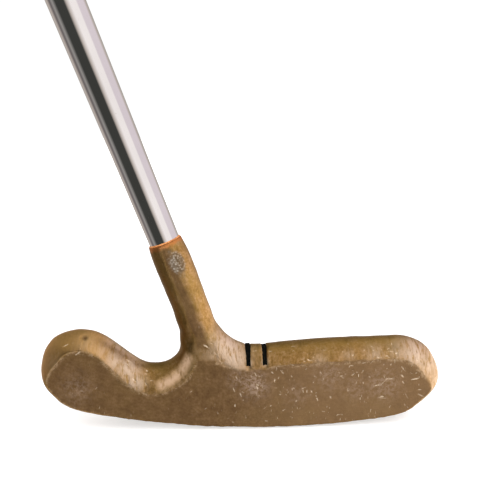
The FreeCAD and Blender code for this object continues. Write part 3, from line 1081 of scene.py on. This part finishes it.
def lap_and_hole_darkness(place):
    """How much darker the laps and the holes are, from 0 to 1."""
    angle = math.atan2(place.dot(SIDE), place.dot(THUMB)) % (2 * math.pi)
    across, along = strip_place(place.dot(AXIS), angle)
    lap = math.exp(-(min(across, 1 - across) / 0.022) ** 2)
    return max(lap, min(1.0, 1.6 * hole_share(across, along)))


def build_leather():
    """Leather strip wound up the paddle form."""
    places = spaced(GRIP_FOOT, GRIP_TOP, 0.5 * MM)
    mesh = skin_mesh("leather_strip", places, 150, leather_surface,
                     lambda d, a: grip_outline(RUBBER_FOOT, RUBBER_TOP, d, a) + 0.02 * MM)
    store(mesh, "lap_and_hole_darkening", np.array([lap_and_hole_darkness(vertex.co) for vertex in mesh.vertices]))
    return finished("leather_strip", mesh, 70.0, grip_leather(), "grip_leather", "leather_wrap")


def grip_leather():
    """Dark brown grip leather, polished by use, with fine grain."""
    s = Shader("grip_leather")
    tone = s.noise(45, 4, 0.6)
    grain = s.cells(1100)
    colour = s.ramp(tone, (0.30, (0.022, 0.011, 0.006)), (0.55, (0.050, 0.024, 0.011)),
                    (0.78, (0.105, 0.052, 0.022)))
    creases = s.band(s.cells(1100, "DISTANCE_TO_EDGE"), 0.0, 0.10, 1.0, 0.0)
    colour = s.mix(s.times(creases, 0.6), colour, (0.010, 0.006, 0.004))
    # Darker in the laps and the holes.
    colour = s.mix(s.times(s.painted("lap_and_hole_darkening"), 0.9), colour, (0.004, 0.003, 0.002))
    s.set("Base Color", colour)
    s.set("Roughness", s.band(tone, 0.3, 0.8, 0.42, 0.62))
    s.surface.inputs["Specular IOR Level"].default_value = 0.28
    s.bump((grain, 0.5, 0.00016), (s.noise(4000, 3, 0.6), 0.3, 0.00005))
    return s.material


def build_finishing_tape():
    """Turns of binding tape over the foot of the leather."""
    low, high = reach("finishing_tape")
    tape = paddle_size("finishing_tape", low)
    tape_top = paddle_size("finishing_tape", high)

    def outside(distance, angle):
        radius = tapered(tape, tape_top, (distance - low) / (high - low), angle)
        turn = ((distance - low) / TAPE_PITCH - angle / (2 * math.pi)) % 1.0
        ends = min(distance - low, high - distance) / (0.5 * MM)
        return radius - 0.12 * MM * abs(2 * turn - 1) - 0.15 * MM * max(0.0, 1 - ends)

    mesh = skin_mesh("binding_tape", spaced(low, high, 0.2 * MM), ROUND, outside,
                     lambda d, a: grip_outline(LEATHER_FOOT, LEATHER_TOP, d, a))
    return finished("binding_tape", mesh, 60.0, binding_tape(), "binding_tape", "finishing_tape")


def binding_tape():
    """Black vinyl tape with a faint stretch grain."""
    s = Shader("binding_tape")
    s.mottled(160, (0.30, 0.48), (0.3, (0.010, 0.010, 0.011)), (0.75, (0.030, 0.029, 0.028)),
              detail=3)
    s.surface.inputs["Specular IOR Level"].default_value = 0.30
    s.bump((s.noise(2400, 3, 0.6), 0.25, 0.00006))
    return s.material


def rounded_loop(corners, radius, steps=5):
    """Closed (distance, radius) loop with each corner rounded by short arcs."""
    loop = []
    count = len(corners)
    for index, corner in enumerate(corners):
        here = Vector(corner)
        before = Vector(corners[index - 1]) - here
        after = Vector(corners[(index + 1) % count]) - here
        cut = min(radius, 0.45 * before.length, 0.45 * after.length)
        if here.y <= 1e-7 or cut < 1e-7:
            loop.append(tuple(here))
            continue
        start = here + before.normalized() * cut
        end = here + after.normalized() * cut
        for step in range(steps + 1):
            share = step / steps
            curve = (1 - share) ** 2 * start + 2 * share * (1 - share) * here + share ** 2 * end
            loop.append(tuple(curve))
    return loop


def build_collar():
    """Tapered moulded collar below the leather."""
    low, high = reach("grip_collar")
    steel = float(shaft_coordinates(points_of("grip_collar"))[1].min())
    foot = float(radii_at("grip_collar", low).max())
    seat = float(radii_at("grip_collar", high).max())
    band = high - 2 * MM
    corners = [(low, steel), (low, foot), (band - 1.2 * MM, seat - 0.25 * MM),
               (band - 0.5 * MM, seat - 0.55 * MM), (band, seat), (high, seat), (high, steel)]
    mesh = turned_mesh("collar_ring", rounded_loop(corners, 0.4 * MM), ROUND)
    return finished("collar_ring", mesh, 50.0, black_plastic(), "black_plastic", "grip_collar")


def black_plastic():
    """Moulded black plastic with handling scuffs."""
    s = Shader("black_plastic")
    tone = s.noise(120, 4, 0.6)
    scuffs = s.band(s.noise(1.0, 4, 0.7, s.stretched((900, 300, 700), (20, 10, 30))), 0.60, 0.74)
    colour = s.ramp(tone, (0.3, (0.010, 0.010, 0.011)), (0.75, (0.022, 0.021, 0.021)))
    s.set("Base Color", s.mix(s.times(scuffs, 0.5), colour, (0.07, 0.068, 0.066)))
    s.set("Roughness", s.plus(s.band(tone, 0.3, 0.7, 0.22, 0.34),
                              s.times(scuffs, 0.2)))
    s.surface.inputs["Specular IOR Level"].default_value = 0.35
    s.bump((s.noise(1800, 3, 0.6), 0.12, 0.00005), (scuffs, 0.12, 0.00003))
    return s.material


SCREW_HEAD_HEIGHT = 1.8 * MM
CAP_EDGE = 1.2 * MM


def build_cap():
    """Moulded end cap with a rounded rim and a ring groove round the screw."""
    low, high = reach("grip_cap")
    radius, flat = paddle_size("grip_cap", low)
    well = float(radii_at("grip_cap", high).min())
    shank = float(radii_at("grip_cap", low).min())
    head_foot = high - SCREW_HEAD_HEIGHT
    edge = CAP_EDGE
    rows = [(low, 1.0, 0.0), (high - edge, 1.0, 0.0)]
    rows += [(high - edge * (1 - math.sin(turn)), 1.0, -edge * (1 - math.cos(turn)))
             for turn in [math.pi / 2 * step / 6 for step in range(1, 7)]]
    ring = [(0.62, 0.0), (0.60, -0.25), (0.57, -0.35), (0.54, -0.25), (0.52, 0.0)]
    rows += [(high + drop * MM, share, 0.0) for share, drop in ring]
    outline = [paddle_radius(radius, flat, angle) for angle in turns(ROUND)]
    rings = [ring_of(distance, [share * (size + inset) for size in outline])
             for distance, share, inset in rows]
    rings += [ring_of(distance, [size] * ROUND)
              for distance, size in ((high, well), (head_foot, shank), (low, shank))]
    mesh = closed_rings("end_cap", rings)
    return finished("end_cap", mesh, 40.0, black_plastic(), "black_plastic", "grip_cap")


def screw_steel():
    """Zinc-plated screw steel, mottled, with fine lines."""
    s = Shader("screw_steel")
    s.mottled(700, (0.26, 0.46), (0.3, (0.42, 0.41, 0.38)), (0.7, (0.66, 0.65, 0.62)))
    s.set("Metallic", 1.0)
    s.bump((s.noise(1.0, 3, 0.6, s.stretched((3000, 400, 400))), 0.2, 0.00005))
    return s.material


def plain_material(name, low, high, rough, scale, bump_scale, depth):
    """Mottled matte material for a hidden inner piece."""
    s = Shader(name)
    s.mottled(scale, (rough - 0.08, rough + 0.08), (0.3, low), (0.7, high))
    s.bump((s.noise(bump_scale, 4, 0.6), 0.5, depth))
    return s.material


def dress_cad_nodes():
    """Materials for the CAD pieces that stay."""
    looks = {
        "hosel_epoxy": old_glue(),
        "cap_screw": screw_steel(),
        "tip_plug": plain_material("plug_cork", (0.28, 0.17, 0.09), (0.50, 0.34, 0.19),
                                   0.85, 900, 1500, 0.0003),
        "grip_tape": plain_material("paper_tape", (0.60, 0.50, 0.34), (0.72, 0.62, 0.45),
                                    0.80, 300, 3000, 0.00008),
        "underlisting": plain_material("form_rubber", (0.018, 0.018, 0.018),
                                       (0.035, 0.034, 0.033), 0.75, 200, 1200, 0.0001),
        "butt_plug": plain_material("plug_wood", (0.34, 0.21, 0.10), (0.52, 0.35, 0.19),
                                    0.70, 400, 1600, 0.0002),
    }
    for node, material in looks.items():
        part = frame["nodes"][node]
        part.data.materials.clear()
        part.data.materials.append(material)


# ------------------------------------------------------------------ studio
# Colours of the plain studio that polished metal reflects.
GREY_WALL = (0.34, 0.32, 0.30)
DARK_CARD = (0.05, 0.05, 0.045)
BLACK_EDGE = (0.14, 0.12, 0.12)
WARM_EDGE = (0.55, 0.48, 0.43)
WHITE_PANEL = (1.0, 0.93, 0.90)
COOL_PANEL = (0.78, 0.69, 0.72)

# The studio round the shaft: (degrees from the front, colour). A dark card stands in
# front and to the heel side, and white panels stand on the toe side.
SURROUND = (
    (-180, GREY_WALL), (-120, WARM_EDGE), (-95, BLACK_EDGE), (-75, GREY_WALL),
    (-54, DARK_CARD), (-2, DARK_CARD), (9, WARM_EDGE), (30, WHITE_PANEL),
    (66, WHITE_PANEL), (74, COOL_PANEL), (122, COOL_PANEL), (140, WARM_EDGE),
    (180, GREY_WALL))

# The studio above and below that band, round the shaft in the same way.
ABOVE = (
    (-180, (0.20, 0.20, 0.16)), (-110, (0.30, 0.29, 0.26)), (-60, (0.36, 0.34, 0.31)),
    (-10, (0.40, 0.38, 0.34)), (40, (0.58, 0.55, 0.49)), (70, (0.62, 0.58, 0.52)),
    (90, (1.10, 1.04, 0.98)), (112, (0.80, 0.76, 0.70)), (150, (0.22, 0.22, 0.18)),
    (180, (0.20, 0.20, 0.16)))
BELOW = (
    (-180, (0.30, 0.29, 0.27)), (-90, (0.30, 0.28, 0.26)), (-20, (0.30, 0.28, 0.26)),
    (30, (0.45, 0.42, 0.39)), (70, (1.6, 1.5, 1.4)), (140, (1.6, 1.5, 1.4)),
    (165, (0.35, 0.34, 0.31)), (180, (0.30, 0.29, 0.27)))


def around_stops(table):
    """Degrees round the shaft as places from 0 to 1."""
    return [((degrees + 180) / 360, colour) for degrees, colour in table]


def build_world():
    """Studio surround: soft light and dark panels, arranged round the shaft's lean."""
    world = bpy.data.worlds.new("studio")
    world.use_nodes = True
    bpy.context.scene.world = world
    studio = Nodes(world.node_tree)
    studio.tree.nodes.clear()
    looking = studio.node("ShaderNodeTexCoord").outputs["Generated"]
    turn = studio.math("ARCTAN2", studio.dot(looking, THUMB), studio.dot(looking, (0, -1, 0)))
    around = studio.node("ShaderNodeMapRange")
    studio.link(turn, around.inputs["Value"])
    around.inputs["From Min"].default_value = -math.pi
    around.inputs["From Max"].default_value = math.pi
    low, middle, high = [studio.ramp(around.outputs["Result"], *around_stops(table))
                         for table in (BELOW, SURROUND, ABOVE)]
    up = studio.dot(looking, AXIS)
    colour = studio.mix(studio.band(up, -0.36, -0.22), low, middle)
    colour = studio.mix(studio.band(up, 0.56, 0.70), colour, high)
    background = studio.node("ShaderNodeBackground")
    studio.link(colour, background.inputs["Color"])
    output = studio.node("ShaderNodeOutputWorld")
    studio.link(background.outputs[0], output.inputs["Surface"])


def soft_light(name, place, aim, size, power):
    """Large soft panel light that polished metal doesn't mirror."""
    data = bpy.data.lights.new(name, "AREA")
    data.shape = "SQUARE"
    data.size = size
    data.energy = power
    light = bpy.data.objects.new(name, data)
    light.location = place
    light.rotation_mode = "QUATERNION"
    light.rotation_quaternion = (Vector(aim) - Vector(place)).to_track_quat("-Z", "Y")
    light.visible_glossy = False
    light.visible_camera = False
    bpy.context.scene.collection.objects.link(light)


FLOOR_HALF_SIZE = 6.0
DOME_RADIUS = 7.5


def build_stage():
    """Pale floor, and a white surround that only the camera sees."""
    floor_mesh = bpy.data.meshes.new("floor")
    size = FLOOR_HALF_SIZE
    floor_mesh.from_pydata([(-size, -size, 0), (size, -size, 0), (size, size, 0),
                            (-size, size, 0)], [], [(0, 1, 2, 3)])
    floor = new_piece("floor", floor_mesh)
    shader = Shader("pale_floor")
    far = shader.node("ShaderNodeVectorMath", operation="LENGTH")
    shader.link(shader.place, far.inputs[0])
    glow_there = shader.band(far.outputs["Value"], 0.15, 0.9, 0.60, 1.0)
    shader.set("Base Color", (0.55, 0.55, 0.55))
    shader.set("Emission Color", (1.0, 1.0, 1.0))
    shader.set("Emission Strength", glow_there)
    shader.set("Roughness", 0.9)
    shader.surface.inputs["Specular IOR Level"].default_value = 0.0
    floor.data.materials.append(shader.material)
    floor.visible_glossy = False
    dome_mesh = bpy.data.meshes.new("dome")
    work = bmesh.new()
    bmesh.ops.create_icosphere(work, subdivisions=4, radius=DOME_RADIUS)
    work.to_mesh(dome_mesh)
    work.free()
    dome = new_piece("dome", dome_mesh)
    glow = Shader("white_dome")
    glow.set("Base Color", (0.0, 0.0, 0.0))
    glow.set("Emission Color", (1.0, 1.0, 1.0))
    glow.set("Emission Strength", 1.02)
    dome.data.materials.append(glow.material)
    dome.visible_diffuse = False
    dome.visible_glossy = False
    dome.visible_transmission = False
    dome.visible_shadow = False


CAMERA_LENS = 37.44
CAMERA_PLACE = (-5.9 * MM, -151.0 * MM, 90.45 * MM)
CAMERA_DOWN = 13
CAMERA_TOEWARD = 3


def build_camera():
    """Camera close above the front of the blade, looking a little down and toeward."""
    data = bpy.data.cameras.new("camera")
    data.sensor_width = 36.0
    data.lens = CAMERA_LENS
    data.clip_start = 0.01
    camera = bpy.data.objects.new("camera", data)
    camera.location = CAMERA_PLACE
    camera.rotation_euler = Euler((math.radians(90 - CAMERA_DOWN), 0, -math.radians(CAMERA_TOEWARD)))
    bpy.context.scene.collection.objects.link(camera)
    bpy.context.scene.camera = camera


def main():
    bpy.context.scene.view_settings.view_transform = "Standard"
    build_camera()
    build_world()
    build_stage()
    soft_light("key_panel", (1.1, -1.5, 2.2), (-0.1, 0, 0.35), 1.8, 62.0)
    soft_light("fill_panel", (-1.8, -1.0, 1.8), (-0.1, 0, 0.35), 2.0, 34.0)
    soft_light("back_panel", (-0.2, 1.9, 2.2), (-0.1, 0, 0.35), 2.0, 30.0)
    build_head()
    build_line_paint()
    build_shaft()
    build_leather()
    build_finishing_tape()
    build_collar()
    build_cap()
    dress_cad_nodes()


main()
